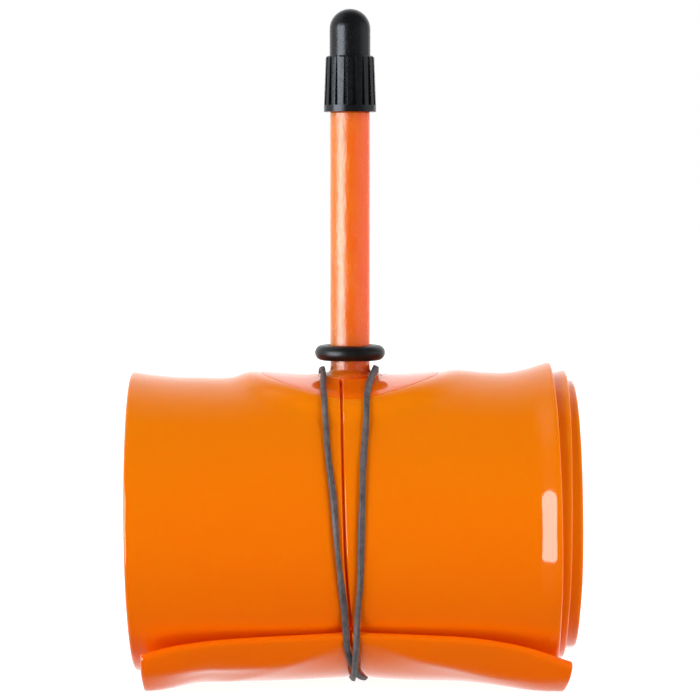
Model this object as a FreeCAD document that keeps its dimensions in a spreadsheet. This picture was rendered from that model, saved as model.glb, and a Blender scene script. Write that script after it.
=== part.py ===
import FreeCAD, Part
import math
import os

import Sketcher

# A bicycle inner tube of thin plastic film, emptied, folded flat and rolled up
# tightly, with its valve standing on the roll and a rubber band round its middle.
# Millimetres. X runs along the roll, Y from front to back, Z up the valve. The
# origin is on the resting plane, straight under the valve's axis.

DRIVING_DIMENSIONS = [
    # The roll: a flat doubled strip of tube, wound as a two-centre spiral
    ("roll_radius", 23.6, "outer radius of the outermost half turn"),
    ("resting_crush", 0.25, "how far the roll is flattened where it rests"),
    ("strip_width", 63.5, "width of the flattened tube"),
    ("strip_thickness", 1.25, "thickness of the doubled flat tube"),
    ("strip_pitch", 1.62, "growth of the spiral in one turn"),
    ("half_turns", 27, "number of half turns wound"),
    ("lip_angle", 123, "where the outer fold ends, from the top towards the front"),
    ("telescope_step", 1.5, "sideways step between the roll's outer, middle and inner turns"),
    ("waist_scale", 0.945, "how far the band draws in the roll's middle"),
    ("waist_lift", 0.2, "how far the middle is lifted off the resting plane"),
    ("waist_half_flat", 6.0, "half length of the fully drawn-in middle"),
    ("waist_half_width", 12.0, "half length of the whole drawn-in stretch"),
    # The round patch welded round the foot of the valve
    ("patch_radius", 13.5, ""),
    ("patch_thickness", 0.5, ""),
    ("skin_gap", 0.02, "gap left between two pieces that are welded together"),
    # The valve stem
    ("stem_radius", 3.0, "a slim valve's 6 mm stem"),
    ("stem_root_radius", 2.97, "moulding draft below the ring"),
    ("stem_neck_radius", 2.8, "under the cap"),
    ("stem_top", 88.9, ""),
    ("stem_wall_start", 51.2, ""),
    ("stem_wall_end", 86.0, ""),
    ("foot_radius", 5.3, ""),
    ("foot_blank", 3.0, "how deep the foot starts, before its underside is shaped"),
    ("foot_rim_height", 46.45, ""),
    ("foot_crown_height", 46.9, ""),
    ("foot_fillet", 0.7, ""),
    ("air_bore_radius", 1.2, ""),
    ("core_bore_radius", 1.7, ""),
    ("core_bore_bottom", 71.5, ""),
    ("core_seat_height", 83.2, ""),
    ("core_thread_bore_radius", 2.15, ""),
    # The ring that beds the stem on the rim
    ("ring_height", 49.8, ""),
    ("ring_cord_radius", 1.15, ""),
    ("ring_bore_radius", 3.02, ""),
    # The valve core, screwed into the top of the stem
    ("core_top", 94.0, ""),
    ("core_head_radius", 2.6, ""),
    ("core_thread_radius", 2.1, ""),
    ("core_thread_bottom", 84.3, ""),
    ("core_tail_radius", 1.6, ""),
    ("core_tail_bottom", 75.9, ""),
    ("core_rod_bore", 0.8, ""),
    ("core_flat_width", 4.4, "across the two spanner flats"),
    ("core_flat_bottom", 89.6, ""),
    ("core_flat_length", 3.2, ""),
    ("face_gap", 0.03, "gap between faces that meet across a joint"),
    ("edge_break", 0.25, "bevel on the small turned and moulded edges"),
    ("gasket_radius", 2.05, ""),
    ("gasket_thickness", 1.0, ""),
    # The plunger: a threaded pin with a rubber seal at its foot
    ("rod_radius", 0.7, ""),
    ("rod_top", 99.6, ""),
    ("rod_head_radius", 0.95, "the peened end that keeps the nut on"),
    ("rod_head_length", 0.6, ""),
    ("rod_foot_radius", 1.25, ""),
    ("rod_foot_length", 0.4, ""),
    ("seal_radius", 1.5, ""),
    ("seal_thickness", 1.4, ""),
    ("nut_radius", 1.95, ""),
    ("nut_bore_radius", 0.75, ""),
    ("nut_height", 2.9, ""),
    ("nut_slots", 14, "knurled grips"),
    ("nut_slot_depth", 0.22, ""),
    ("nut_slot_width", 0.4, ""),
    # The dust cap
    ("cap_bottom", 86.2, ""),
    ("cap_height", 15.5, ""),
    ("cap_rim_radius", 3.95, ""),
    ("cap_rim_height", 1.0, ""),
    ("cap_shoulder_radius", 3.68, ""),
    ("cap_skirt_height", 8.4, ""),
    ("cap_dome_radius", 3.08, ""),
    ("cap_mouth_radius", 3.1, "over the stem's neck"),
    ("cap_mouth_depth", 2.85, ""),
    ("cap_thread_bore", 2.65, ""),
    ("cap_thread_depth", 8.0, ""),
    ("cap_nose_bore", 2.2, ""),
    ("cap_crown_wall", 1.4, ""),
    ("cap_slots", 18, "grooves between the grip ribs"),
    ("cap_slot_floor", 3.5, "radius of the floor of the grooves"),
    ("cap_slot_width", 0.62, ""),
    # The rubber band
    ("band_radius", 0.5, "half the thickness of the stretched band"),
    ("band_gap", 0.05, ""),
]

# The band's route, two turns round the roll: the angle from the top towards the
# front, the place along X, and how far the band is lifted off the bare roll by
# what it runs over: the valve's foot, the patch, the end of the strip and itself.
BAND_STEP = 15
ARC_SHARE = 0.45  # the share of a run that is rounded off at each of its ends
BAND_ROUTE = [
    (0, -4.2, 1.5),
    (15, -4.05, 1.2),
    (30, -3.9, 0.6),
    (45, -3.45, 0.45),
    (60, -3.0, 0.05),
    (75, -2.45, 0.0),
    (90, -1.9, 0.0),
    (105, -1.32, 0.3),
    (120, -0.75, 1.55),
    (135, -0.2, 0.0),
    (150, 0.6, 0.0),
    (165, 1.55, 0.0),
    (180, 2.3, 0.0),
    (195, 2.7, 0.0),
    (210, 3.0, 0.0),
    (225, 3.2, 0.0),
    (240, 3.35, 0.0),
    (255, 3.5, 0.0),
    (270, 3.6, 0.0),
    (285, 3.7, 0.0),
    (300, 3.75, 0.05),
    (315, 3.75, 0.45),
    (330, 3.7, 0.6),
    (345, 3.85, 1.2),
    (360, 3.95, 1.5),
    (375, 3.45, 1.2),
    (390, 2.6, 0.6),
    (405, 2.2, 0.45),
    (420, 1.95, 0.05),
    (435, 1.8, 0.0),
    (450, 1.65, 0.0),
    (465, 1.4, 0.45),
    (480, 1.15, 2.0),
    (495, 0.85, 0.9),
    (510, 0.35, 1.1),
    (525, -0.45, 0.35),
    (540, -1.3, 0.0),
    (555, -1.95, 0.0),
    (570, -2.5, 0.0),
    (585, -3.0, 0.0),
    (600, -3.4, 0.0),
    (615, -3.75, 0.0),
    (630, -4.0, 0.0),
    (645, -4.2, 0.0),
    (660, -4.35, 0.05),
    (675, -4.4, 0.45),
    (690, -4.4, 0.6),
    (705, -4.35, 1.2),
]


def write_dimensions(doc):
    """Fill the spreadsheet that every size is read from."""
    sheet = doc.addObject("Spreadsheet::Sheet", "Dims")
    for row, (alias, value, note) in enumerate(DRIVING_DIMENSIONS, start=1):
        sheet.set(f"A{row}", alias)
        sheet.set(f"B{row}", str(value))
        sheet.set(f"C{row}", note)
        sheet.setAlias(f"B{row}", alias)
    doc.recompute()
    return sheet


# ---------------------------------------------------------------- sketches and bodies


def origin_plane(body, role):
    return next(f for f in body.Origin.OriginFeatures if f.Role == role)


def new_body(doc, name):
    body = doc.addObject("PartDesign::Body", name)
    body.Label = name
    return body


def new_sketch(body, name, plane, height=None):
    """A sketch on one of the body's own origin planes, raised to a height."""
    sketch = body.newObject("Sketcher::SketchObject", name)
    sketch.AttachmentSupport = [(origin_plane(body, plane), "")]
    sketch.MapMode = "FlatFace"
    if height:
        sketch.setExpression("AttachmentOffset.Base.z", named(height))
    return sketch


def named(expression):
    """Write the sheet's name in front of every alias in an expression."""
    words = expression.split()
    aliases = {alias for alias, _, _ in DRIVING_DIMENSIONS}
    return " ".join(f"Dims.{word}" if word in aliases else word for word in words)


def measure(sheet, expression):
    """The value of an expression in the sheet's aliases."""
    return float(sheet.evalExpression(expression))


def fix_point(sheet, sketch, line, end, across, up):
    """Bind one corner of a sketch to two expressions, or to an axis where it is 0."""
    for axis, kind, expression in ((-2, "DistanceX", across), (-1, "DistanceY", up)):
        if expression == "0":
            sketch.addConstraint(Sketcher.Constraint("PointOnObject", line, end, axis))
            continue
        value = measure(sheet, expression)
        constraint = Sketcher.Constraint(kind, -1, 1, line, end, value)
        index = sketch.addConstraint(constraint)
        sketch.setExpression(f"Constraints[{index}]", named(expression))


def draw_polygon(sheet, sketch, corners):
    """A closed outline whose corners are pairs of expressions."""
    points = [
        FreeCAD.Vector(measure(sheet, across), measure(sheet, up), 0)
        for across, up in corners
    ]
    lines = []
    for start, end in zip(points, points[1:] + points[:1]):
        lines.append(sketch.addGeometry(Part.LineSegment(start, end), False))
    for line, following in zip(lines, lines[1:] + lines[:1]):
        sketch.addConstraint(Sketcher.Constraint("Coincident", line, 2, following, 1))
    for line, (across, up) in zip(lines, corners):
        fix_point(sheet, sketch, line, 1, across, up)


def revolved_body(doc, sheet, name, corners):
    """A body turned round Z from an outline of (radius, height) corners."""
    body = new_body(doc, name)
    sketch = new_sketch(body, f"{name}_outline", "XZ_Plane")
    draw_polygon(sheet, sketch, corners)
    turned = body.newObject("PartDesign::Revolution", f"{name}_turned")
    turned.Profile = sketch
    turned.ReferenceAxis = (sketch, ["V_Axis"])
    turned.Angle = 360
    doc.recompute()
    return body


def cut_pocket(doc, body, sketch, length=None):
    """Pocket a sketch upwards for a length, or right through both ways, and check it."""
    before = body.Shape.Volume
    pocket = body.newObject("PartDesign::Pocket", f"{sketch.Name}_cut")
    pocket.Profile = sketch
    if length:
        pocket.Type = "Length"
        pocket.Reversed = True
        pocket.setExpression("Length", named(length))
    else:
        pocket.Type = "ThroughAll"
        pocket.Midplane = True
    doc.recompute()
    if body.Shape.Volume >= before:
        raise RuntimeError(f"{pocket.Name} removed nothing")
    return pocket


def cut_grip_slots(doc, sheet, body, slot, bottom, length, count):
    """Cut one upright slot in a round body and repeat it round Z."""
    sketch = new_sketch(body, f"{body.Name}_slot", "XY_Plane", bottom)
    draw_polygon(sheet, sketch, slot)
    pocket = cut_pocket(doc, body, sketch, length)
    pattern = body.newObject("PartDesign::PolarPattern", f"{body.Name}_slots")
    pattern.Originals = [pocket]
    pattern.Axis = (sketch, ["N_Axis"])
    pattern.Angle = 360
    pattern.setExpression("Occurrences", named(count))
    body.Tip = pattern
    doc.recompute()


def fillet_circle(doc, body, radius, height, size):
    """Round the one circular edge that has this radius and height."""
    base = body.Tip
    found = []
    for number, edge in enumerate(base.Shape.Edges, start=1):
        curve = edge.Curve
        if not isinstance(curve, Part.Circle):
            continue
        near = abs(curve.Radius - radius) < 1e-3 and abs(curve.Center.z - height) < 1e-3
        if near:
            found.append(f"Edge{number}")
    fillet = body.newObject("PartDesign::Fillet", f"{body.Name}_round")
    fillet.Base = (base, found)
    fillet.setExpression("Radius", named(size))
    doc.recompute()


# ---------------------------------------------------------------- the roll's section


class RollSection:
    """The wound strip's section across X, at its full size or drawn in by the band."""

    def __init__(self, sheet, drawn_in):
        self.scale = sheet.waist_scale if drawn_in else 1.0
        lift = sheet.waist_lift if drawn_in else 0.0
        self.lip = sheet.lip_angle
        self.outer = sheet.roll_radius * self.scale
        self.step = sheet.strip_pitch * self.scale / 2
        self.thickness = sheet.strip_thickness * self.scale
        # the roll's front face stands in behind the back one, so the middle is set
        # forward by half the difference, and the valve's axis is halfway front to back
        growth = sheet.strip_pitch / 2
        forward = growth * (1 - math.sin(math.radians(self.lip + 180))) / 2
        height = sheet.roll_radius - sheet.resting_crush + lift
        self.middle = FreeCAD.Vector(0, -forward, height)

    def direction(self, angle):
        """The unit vector at an angle from the top, towards the front."""
        turn = math.radians(angle)
        return FreeCAD.Vector(0, -math.sin(turn), math.cos(turn))

    def centre(self, half_turn):
        """Half turns are struck from two centres in turn, half a pitch apart."""
        if half_turn % 2 == 0:
            return self.middle
        return self.middle + self.direction(self.lip + 180) * self.step

    def radius(self, half_turn):
        return self.outer - half_turn * self.step

    def point(self, half_turn, angle, depth, x):
        reach = self.radius(half_turn) - depth
        return self.centre(half_turn) + self.direction(angle) * reach + FreeCAD.Vector(x, 0, 0)

    def wound_wire(self, first, last, x):
        """The strip's closed outline from one half turn to before another."""
        edges = []
        for half_turn in range(first, last):
            edges.append(self.half_arc(half_turn, 0.0, x))
        edges.append(self.end_round(last - 1, 180, x))
        for half_turn in reversed(range(first, last)):
            edges.append(self.half_arc(half_turn, self.thickness, x))
        edges.append(self.end_round(first, 0, x))
        return Part.Wire(Part.__sortEdges__(edges))

    def half_arc(self, half_turn, depth, x):
        start = self.lip + 180 * half_turn
        points = [self.point(half_turn, start + swept, depth, x) for swept in (0, 90, 180)]
        return Part.Arc(*points).toShape()

    def end_round(self, half_turn, swept, x):
        """The strip's free ends are folds, so they are fully round."""
        angle = self.lip + 180 * half_turn + swept
        half = self.thickness / 2
        outside = self.point(half_turn, angle, 0.0, x)
        inside = self.point(half_turn, angle, self.thickness, x)
        middle = self.point(half_turn, angle, half, x)
        beyond = self.direction(angle + (90 if swept else -90)) * half
        return Part.Arc(outside, middle + beyond, inside).toShape()

    def front_axis(self):
        """The axis and radius of the roll's top and front face."""
        return self.centre(1), self.radius(1)


def x_stations(sheet, left, right):
    """Places along X where the section changes, each with whether it is drawn in there."""
    flat, wide = sheet.waist_half_flat, sheet.waist_half_width
    return [
        (left, False),
        (-wide, False),
        (-flat, True),
        (flat, True),
        (wide, False),
        (right, False),
    ]


def wound_span(sheet, first, last, left, right):
    """Part of the wound strip, from one half turn to before another, as a solid."""
    wires = []
    for x, drawn_in in x_stations(sheet, left, right):
        wires.append(RollSection(sheet, drawn_in).wound_wire(first, last, x))
    return Part.makeLoft(wires, True, True)


def roll_shape(sheet):
    """The wound strip: its turns have slipped sideways, and it rests on a small flat."""
    half = sheet.strip_width / 2
    slip = sheet.telescope_step
    total = sheet.half_turns
    outer_end = total // 4
    middle_end = total // 2
    outer = wound_span(sheet, 0, outer_end, -half - slip, half - slip)
    middle = wound_span(sheet, outer_end, middle_end, -half, half)
    inner = wound_span(sheet, middle_end, total, -half + slip, half + slip)
    corner = FreeCAD.Vector(-2 * half, -half, -half)
    below = Part.makeBox(4 * half, 2 * half, half, corner)
    hole = Part.makeCylinder(
        sheet.air_bore_radius,
        sheet.strip_thickness,
        FreeCAD.Vector(0, 0, foot_height(sheet) - 2 * sheet.strip_thickness),
    )
    return outer.fuse([middle, inner]).cut([below, hole]).Solids[0]


def foot_height(sheet):
    """The height of the drawn-in roll's top on the valve's axis."""
    axis, radius = RollSection(sheet, True).front_axis()
    return axis.z + math.sqrt(radius**2 - axis.y**2)


def saddle_shape(sheet, inside, outside, half_length):
    """A layer over the roll's top, between two heights above its face."""
    half_angle = 45
    wires = []
    for x, drawn_in in x_stations(sheet, -half_length, half_length):
        section = RollSection(sheet, drawn_in)
        axis, radius = section.front_axis()
        centre = axis + FreeCAD.Vector(x, 0, 0)
        arcs = []
        for height in (inside, outside):
            rim = [
                centre + section.direction(angle) * (radius + height)
                for angle in (-half_angle, 0, half_angle)
            ]
            arcs.append((Part.Arc(*rim).toShape(), rim))
        (low, low_rim), (high, high_rim) = arcs
        ends = [
            Part.LineSegment(low_rim[2], high_rim[2]).toShape(),
            Part.LineSegment(high_rim[0], low_rim[0]).toShape(),
        ]
        wires.append(Part.Wire([low, ends[0], high, ends[1]]))
    return Part.makeLoft(wires, True, True)


# ---------------------------------------------------------------- the pieces


def part_feature(doc, name, shape):
    feature = doc.addObject("Part::Feature", name)
    feature.Shape = shape
    feature.Placement = FreeCAD.Placement()
    feature.Label = name
    return feature


def part_cylinder(doc, name, radius, height, bottom):
    """An upright cylinder on the valve's axis, bound to the sheet."""
    cylinder = doc.addObject("Part::Cylinder", name)
    cylinder.setExpression("Radius", named(radius))
    cylinder.setExpression("Height", named(height))
    cylinder.setExpression("Placement.Base.z", named(bottom))
    return cylinder


def make_tube_roll(doc, sheet):
    return part_feature(doc, "tube_roll", roll_shape(sheet))


def make_valve_base_patch(doc, sheet):
    """A thin disc moulded over the roll's top, with the air hole in its middle."""
    outside = sheet.skin_gap + sheet.patch_thickness
    half_length = sheet.patch_radius + sheet.patch_thickness
    saddle = saddle_shape(sheet, sheet.skin_gap, outside, half_length)
    layer = part_feature(doc, "patch_layer", saddle)
    height = "roll_radius"
    disc = part_cylinder(doc, "patch_disc", "patch_radius", height, height)
    hole = part_cylinder(doc, "patch_hole", "air_bore_radius", height, height)
    blank = doc.addObject("Part::MultiCommon", "patch_blank")
    blank.Shapes = [layer, disc]
    patch = doc.addObject("Part::Cut", "valve_base_patch")
    patch.Base = blank
    patch.Tool = hole
    patch.Label = "valve_base_patch"
    return patch


def make_valve_stem(doc, sheet):
    """A smooth stem on a small round foot, which is shaped to the patch below it."""
    stem = revolved_body(
        doc,
        sheet,
        "valve_stem",
        [
            ("air_bore_radius", "foot_rim_height - foot_blank"),
            ("foot_radius", "foot_rim_height - foot_blank"),
            ("foot_radius", "foot_rim_height"),
            ("stem_root_radius", "foot_crown_height"),
            ("stem_radius", "stem_wall_start"),
            ("stem_radius", "stem_wall_end"),
            ("stem_neck_radius", "stem_wall_end + edge_break"),
            ("stem_neck_radius", "stem_top - edge_break"),
            ("stem_neck_radius - edge_break", "stem_top"),
            ("core_thread_bore_radius", "stem_top"),
            ("core_thread_bore_radius", "core_seat_height"),
            ("core_bore_radius", "core_seat_height"),
            ("core_bore_radius", "core_bore_bottom"),
            ("air_bore_radius", "core_bore_bottom - edge_break"),
        ],
    )
    axis, radius = RollSection(sheet, True).front_axis()
    under = new_sketch(stem, "foot_underside", "YZ_Plane")
    seat = radius + sheet.patch_thickness + 2 * sheet.skin_gap
    circle = Part.Circle(FreeCAD.Vector(axis.y, axis.z, 0), FreeCAD.Vector(0, 0, 1), seat)
    ring = under.addGeometry(circle, False)
    under.addConstraint(Sketcher.Constraint("Block", ring))
    cut_pocket(doc, stem, under)
    height = measure(sheet, "foot_crown_height")
    fillet_circle(doc, stem, sheet.stem_root_radius, height, "foot_fillet")
    return stem


def make_stem_o_ring(doc):
    ring = doc.addObject("Part::Torus", "stem_o_ring")
    ring.Label = "stem_o_ring"
    ring.setExpression("Radius1", named("ring_bore_radius + ring_cord_radius"))
    ring.setExpression("Radius2", named("ring_cord_radius"))
    ring.setExpression("Placement.Base.z", named("ring_height"))
    return ring


def make_core_body(doc, sheet):
    """The core: a thread, a long tail and a head with two spanner flats."""
    core = revolved_body(
        doc,
        sheet,
        "core_body",
        [
            ("core_rod_bore", "core_tail_bottom"),
            ("core_tail_radius", "core_tail_bottom"),
            ("core_tail_radius", "core_thread_bottom"),
            ("core_thread_radius", "core_thread_bottom"),
            ("core_thread_radius", "stem_top + face_gap"),
            ("core_head_radius", "stem_top + face_gap"),
            ("core_head_radius", "core_top - edge_break"),
            ("core_head_radius - edge_break", "core_top"),
            ("core_rod_bore", "core_top"),
        ],
    )
    flats = new_sketch(core, "core_flats", "XY_Plane", "core_flat_bottom")
    for side in ("", "-"):
        draw_polygon(
            sheet,
            flats,
            [
                (f"{side} core_head_radius", f"{side} core_flat_width / 2"),
                (f"{side} core_head_radius", f"{side} core_head_radius"),
                (f"{side} core_head_radius * -1", f"{side} core_head_radius"),
                (f"{side} core_head_radius * -1", f"{side} core_flat_width / 2"),
            ],
        )
    cut_pocket(doc, core, flats, "core_flat_length")
    return core


def make_core_gasket(doc, sheet):
    """A flat rubber ring between the core's shoulder and the ledge in the stem."""
    bottom = "core_thread_bottom - gasket_thickness"
    return revolved_body(
        doc,
        sheet,
        "core_gasket",
        [
            ("core_tail_radius + skin_gap", bottom),
            ("gasket_radius", bottom),
            ("gasket_radius", "core_thread_bottom - skin_gap"),
            ("core_tail_radius + skin_gap", "core_thread_bottom - skin_gap"),
        ],
    )


def make_plunger_rod(doc, sheet):
    """The pin through the core, peened over the nut and headed under the seal."""
    head = "rod_top - rod_head_length"
    seal = "core_tail_bottom - face_gap - seal_thickness"
    foot = f"{seal} - skin_gap"
    return revolved_body(
        doc,
        sheet,
        "plunger_rod",
        [
            ("0", f"{foot} - rod_foot_length"),
            ("rod_foot_radius", f"{foot} - rod_foot_length"),
            ("rod_foot_radius", foot),
            ("rod_radius", foot),
            ("rod_radius", head),
            ("rod_head_radius", head),
            ("rod_head_radius", "rod_top - edge_break"),
            ("rod_head_radius - edge_break", "rod_top"),
            ("0", "rod_top"),
        ],
    )


def make_plunger_seal(doc, sheet):
    top = "core_tail_bottom - face_gap"
    bottom = f"{top} - seal_thickness"
    return revolved_body(
        doc,
        sheet,
        "plunger_seal",
        [
            ("rod_radius + skin_gap", bottom),
            ("seal_radius", bottom),
            ("seal_radius - edge_break", top),
            ("rod_radius + skin_gap", top),
        ],
    )


def make_lock_nut(doc, sheet):
    """The small knurled nut that locks the pin."""
    bottom = "core_top + face_gap"
    top = f"{bottom} + nut_height"
    nut = revolved_body(
        doc,
        sheet,
        "lock_nut",
        [
            ("nut_bore_radius", bottom),
            ("nut_radius - edge_break", bottom),
            ("nut_radius", f"{bottom} + edge_break"),
            ("nut_radius", f"{top} - edge_break"),
            ("nut_radius - edge_break", top),
            ("nut_bore_radius", top),
        ],
    )
    slot = [
        ("nut_radius - nut_slot_depth", "nut_slot_width / -6"),
        ("nut_radius + nut_slot_depth", "nut_slot_width / -1"),
        ("nut_radius + nut_slot_depth", "nut_slot_width"),
        ("nut_radius - nut_slot_depth", "nut_slot_width / 6"),
    ]
    cut_grip_slots(doc, sheet, nut, slot, bottom, "nut_height", "nut_slots")
    return nut


def make_dust_cap(doc, sheet):
    """A plastic cap: a grooved skirt on a plain rim, and a domed nose."""
    shoulder = "cap_bottom + cap_skirt_height"
    crown = "cap_bottom + cap_height"
    nose = f"{crown} - cap_crown_wall"
    cap = revolved_body(
        doc,
        sheet,
        "dust_cap",
        [
            ("cap_mouth_radius", "cap_bottom"),
            ("cap_rim_radius", "cap_bottom"),
            ("cap_rim_radius", "cap_bottom + cap_rim_height"),
            ("cap_shoulder_radius", f"{shoulder} - edge_break"),
            ("cap_shoulder_radius - edge_break", shoulder),
            ("cap_dome_radius", shoulder),
            ("cap_dome_radius", crown),
            ("0", crown),
            ("0", nose),
            ("cap_nose_bore / 2", nose),
            ("cap_nose_bore", f"{nose} - cap_nose_bore / 2"),
            ("cap_nose_bore", "cap_bottom + cap_thread_depth + edge_break"),
            ("cap_thread_bore", "cap_bottom + cap_thread_depth"),
            ("cap_thread_bore", "cap_bottom + cap_mouth_depth + edge_break"),
            ("cap_mouth_radius", "cap_bottom + cap_mouth_depth"),
        ],
    )
    slot = [
        ("cap_slot_floor", "cap_slot_width / -3"),
        ("cap_rim_radius + face_gap", "cap_slot_width / -1.7"),
        ("cap_rim_radius + face_gap", "cap_slot_width / 1.7"),
        ("cap_slot_floor", "cap_slot_width / 3"),
    ]
    height = measure(sheet, crown)
    fillet_circle(doc, cap, sheet.cap_dome_radius, height, "cap_dome_radius - face_gap")
    rim = "cap_bottom + cap_rim_height"
    length = "cap_skirt_height - cap_rim_height"
    cut_grip_slots(doc, sheet, cap, slot, rim, length, "cap_slots")
    return cap


def band_point(sheet, angle, x, lift):
    """A point on the band's centre line over the drawn-in roll."""
    section = RollSection(sheet, True)
    past_lip = (angle - section.lip) % 360
    half_turn = 0 if past_lip <= 180 else 1
    corner = math.cos(math.radians(BAND_STEP / 2))
    reach = section.radius(half_turn) + sheet.band_radius + sheet.band_gap + lift
    point = section.centre(half_turn) + section.direction(angle) * (reach / corner)
    return point + FreeCAD.Vector(x, 0, 0)


def rounded_loop(points):
    """The edges of a loop of straight runs joined by tangent arcs, and its least radius."""
    count = len(points)
    before, after, tightest = [], [], math.inf
    for index, corner in enumerate(points):
        to_last = points[index - 1] - corner
        to_next = points[(index + 1) % count] - corner
        cut = ARC_SHARE * min(to_last.Length, to_next.Length)
        before.append(corner + to_last.normalize() * cut)
        after.append(corner + to_next.normalize() * cut)
        turn = math.pi - to_last.getAngle(to_next)
        tightest = min(tightest, cut / math.tan(turn / 2))
    edges = []
    for index, corner in enumerate(points):
        chord_middle = (before[index] + after[index]) / 2
        cut = (corner - before[index]).Length
        rise = (corner - chord_middle).Length
        half_chord = (before[index] - chord_middle).Length
        radius = cut * half_chord / rise
        sagitta = radius - math.sqrt(radius**2 - half_chord**2)
        crest = chord_middle + (corner - chord_middle).normalize() * sagitta
        edges.append(Part.Arc(before[index], crest, after[index]).toShape())
        following = before[(index + 1) % count]
        edges.append(Part.LineSegment(after[index], following).toShape())
    return edges, tightest


def swept_round(edges, radius):
    """A round section swept along an open run of edges."""
    first = edges[0]
    start = first.valueAt(first.FirstParameter)
    along = first.tangentAt(first.FirstParameter)
    circle = Part.Wire(Part.Circle(start, along, radius).toShape())
    return Part.Wire(edges).makePipeShell([circle], True, False)


def make_rubber_band(doc, sheet):
    """One closed loop of round section, passed twice round the roll's middle."""
    points = [band_point(sheet, angle, x, lift) for angle, x, lift in BAND_ROUTE]
    edges, tightest = rounded_loop(points)
    half = len(edges) // 2
    first_turn = swept_round(edges[:half], sheet.band_radius)
    second_turn = swept_round(edges[half:], sheet.band_radius)
    solid = first_turn.fuse([second_turn]).Solids[0]
    length = sum(edge.Length for edge in edges)
    expected = math.pi * sheet.band_radius**2 * length
    print(f"band: length {length:.1f} mm, tightest bend {tightest:.1f} mm")
    print(f"band: volume {solid.Volume:.1f} of {expected:.1f} cubic mm")
    return part_feature(doc, "rubber_band", solid)


# ---------------------------------------------------------------- build and export


def check_document(doc, pieces):
    """Stop on any failed object and on any empty or invalid piece."""
    for thing in doc.Objects:
        if "Invalid" in thing.State or "Error" in thing.State:
            raise RuntimeError(f"{thing.Name} did not compute")
    for piece in pieces:
        if piece.Shape.isNull() or not piece.Shape.isValid():
            raise RuntimeError(f"{piece.Label} has no valid shape")
        if len(piece.Shape.Solids) != 1:
            raise RuntimeError(f"{piece.Label} is {len(piece.Shape.Solids)} solids")


def main():
    doc = FreeCAD.newDocument("rolled_inner_tube")
    sheet = write_dimensions(doc)
    pieces = [
        make_tube_roll(doc, sheet),
        make_valve_base_patch(doc, sheet),
        make_valve_stem(doc, sheet),
        make_stem_o_ring(doc),
        make_core_body(doc, sheet),
        make_core_gasket(doc, sheet),
        make_plunger_rod(doc, sheet),
        make_plunger_seal(doc, sheet),
        make_lock_nut(doc, sheet),
        make_dust_cap(doc, sheet),
        make_rubber_band(doc, sheet),
    ]
    doc.recompute()
    check_document(doc, pieces)
    os.makedirs("parts", exist_ok=True)
    for piece in pieces:
        piece.Shape.exportStep(f"parts/{piece.Label}.step")
        box = piece.Shape.BoundBox
        print(f"{piece.Label}: {piece.Shape.Volume:.1f} cubic mm, z {box.ZMin:.2f} to {box.ZMax:.2f}")


main()
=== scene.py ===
import math

import bmesh
import bpy
import numpy as np
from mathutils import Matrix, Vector


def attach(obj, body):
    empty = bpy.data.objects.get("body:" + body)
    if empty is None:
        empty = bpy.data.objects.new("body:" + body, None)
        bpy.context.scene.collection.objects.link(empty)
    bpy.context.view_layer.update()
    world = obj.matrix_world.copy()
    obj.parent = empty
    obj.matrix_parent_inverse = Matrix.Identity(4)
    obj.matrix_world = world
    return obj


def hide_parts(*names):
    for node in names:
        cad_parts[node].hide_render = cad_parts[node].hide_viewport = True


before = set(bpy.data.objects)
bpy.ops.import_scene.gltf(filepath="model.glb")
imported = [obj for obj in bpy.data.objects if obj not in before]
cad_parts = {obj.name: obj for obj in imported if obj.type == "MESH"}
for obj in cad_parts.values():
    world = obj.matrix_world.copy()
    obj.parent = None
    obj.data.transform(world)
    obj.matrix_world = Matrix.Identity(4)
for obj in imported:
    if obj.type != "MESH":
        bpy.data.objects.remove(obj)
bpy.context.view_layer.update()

# A rolled-up inner tube of orange film with its valve, and the studio round it.
# Shapes are worked out in millimetres and turned into metres as each mesh is made.
# Angles round the roll are in degrees: 0 is the top, 90 the front, 180 the floor.

MM = 0.001

# The roll, as the CAD has it
AXIS_HEIGHT = 23.35
ROLL_RADIUS = 23.6
PITCH = 1.62
LIP_ANGLE = 123.0
WINDING = 27 * 180.0
HALF_WIDTH = 31.75

# The flattened tube: two layers folded over each other
LAYER_A_DEPTH = 0.32
LAYER_B_DEPTH = 0.95
HALF_THICKNESS = 0.29
EDGE_RADIUS = 0.36
PUFF_HEIGHT = 0.16
PUFF_WIDTH = 4.6
EDGE_DROP = 0.12

# The mesh is fine for this many degrees in from the lip, and coarser inside
FINE_WINDING = 430.0

# The patch under the valve. Its saddle rises along the roll and falls away across it
PATCH_RADIUS = 13.5
PATCH_CROWN = 46.2
PATCH_SADDLE = 0.0038
PATCH_FALL = 0.008
PATCH_FOOT_FALL = 0.0057
PATCH_FOOT_WIDTH = 7.5
PATCH_THICKNESS = 0.07
PATCH_RIM = 1.5
WELD_HEIGHT = 0.22
WELD_PLACE = 5.2

# The outer turns: a slim waist, flared ends and the dents under the band
WAIST_DEPTH = 0.25
WAIST_WIDTH = 9
RIGHT_FLARE = 1.4
LEFT_FLARE = 0.35
DENT_DEPTH = 0.22
DENT_WIDTH = 0.85
DIP_DEPTH = 0.1
DIP_WIDTH = 4.0

# Sideways drift of the winding: (degrees from the lip, mm)
DRIFT = [(0, 1.0), (77, -0.3), (237, -1.4), (327, -1.0), (420, -0.5), (500, 0.2), (600, 0.9),
         (687, 0.45), (780, 0.5), (870, 1.2), (957, 2.05), (1050, 2.2), (1180, 2.15), (1400, 1.8),
         (1800, 1.3), (5000, 1.0)]

# The top of the roll stands off a true spiral by this much: (mm along the roll, mm)
TOP_RISE = [(-34, 1.1), (-30, 0.4), (-23, 0.12), (-18, 0.15), (-14, 0.95), (0, 0.8), (14, 1.5),
            (17, 1.3), (20, 1.0), (26, 1.15), (30, 2.4), (34, 3.4)]

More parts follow.
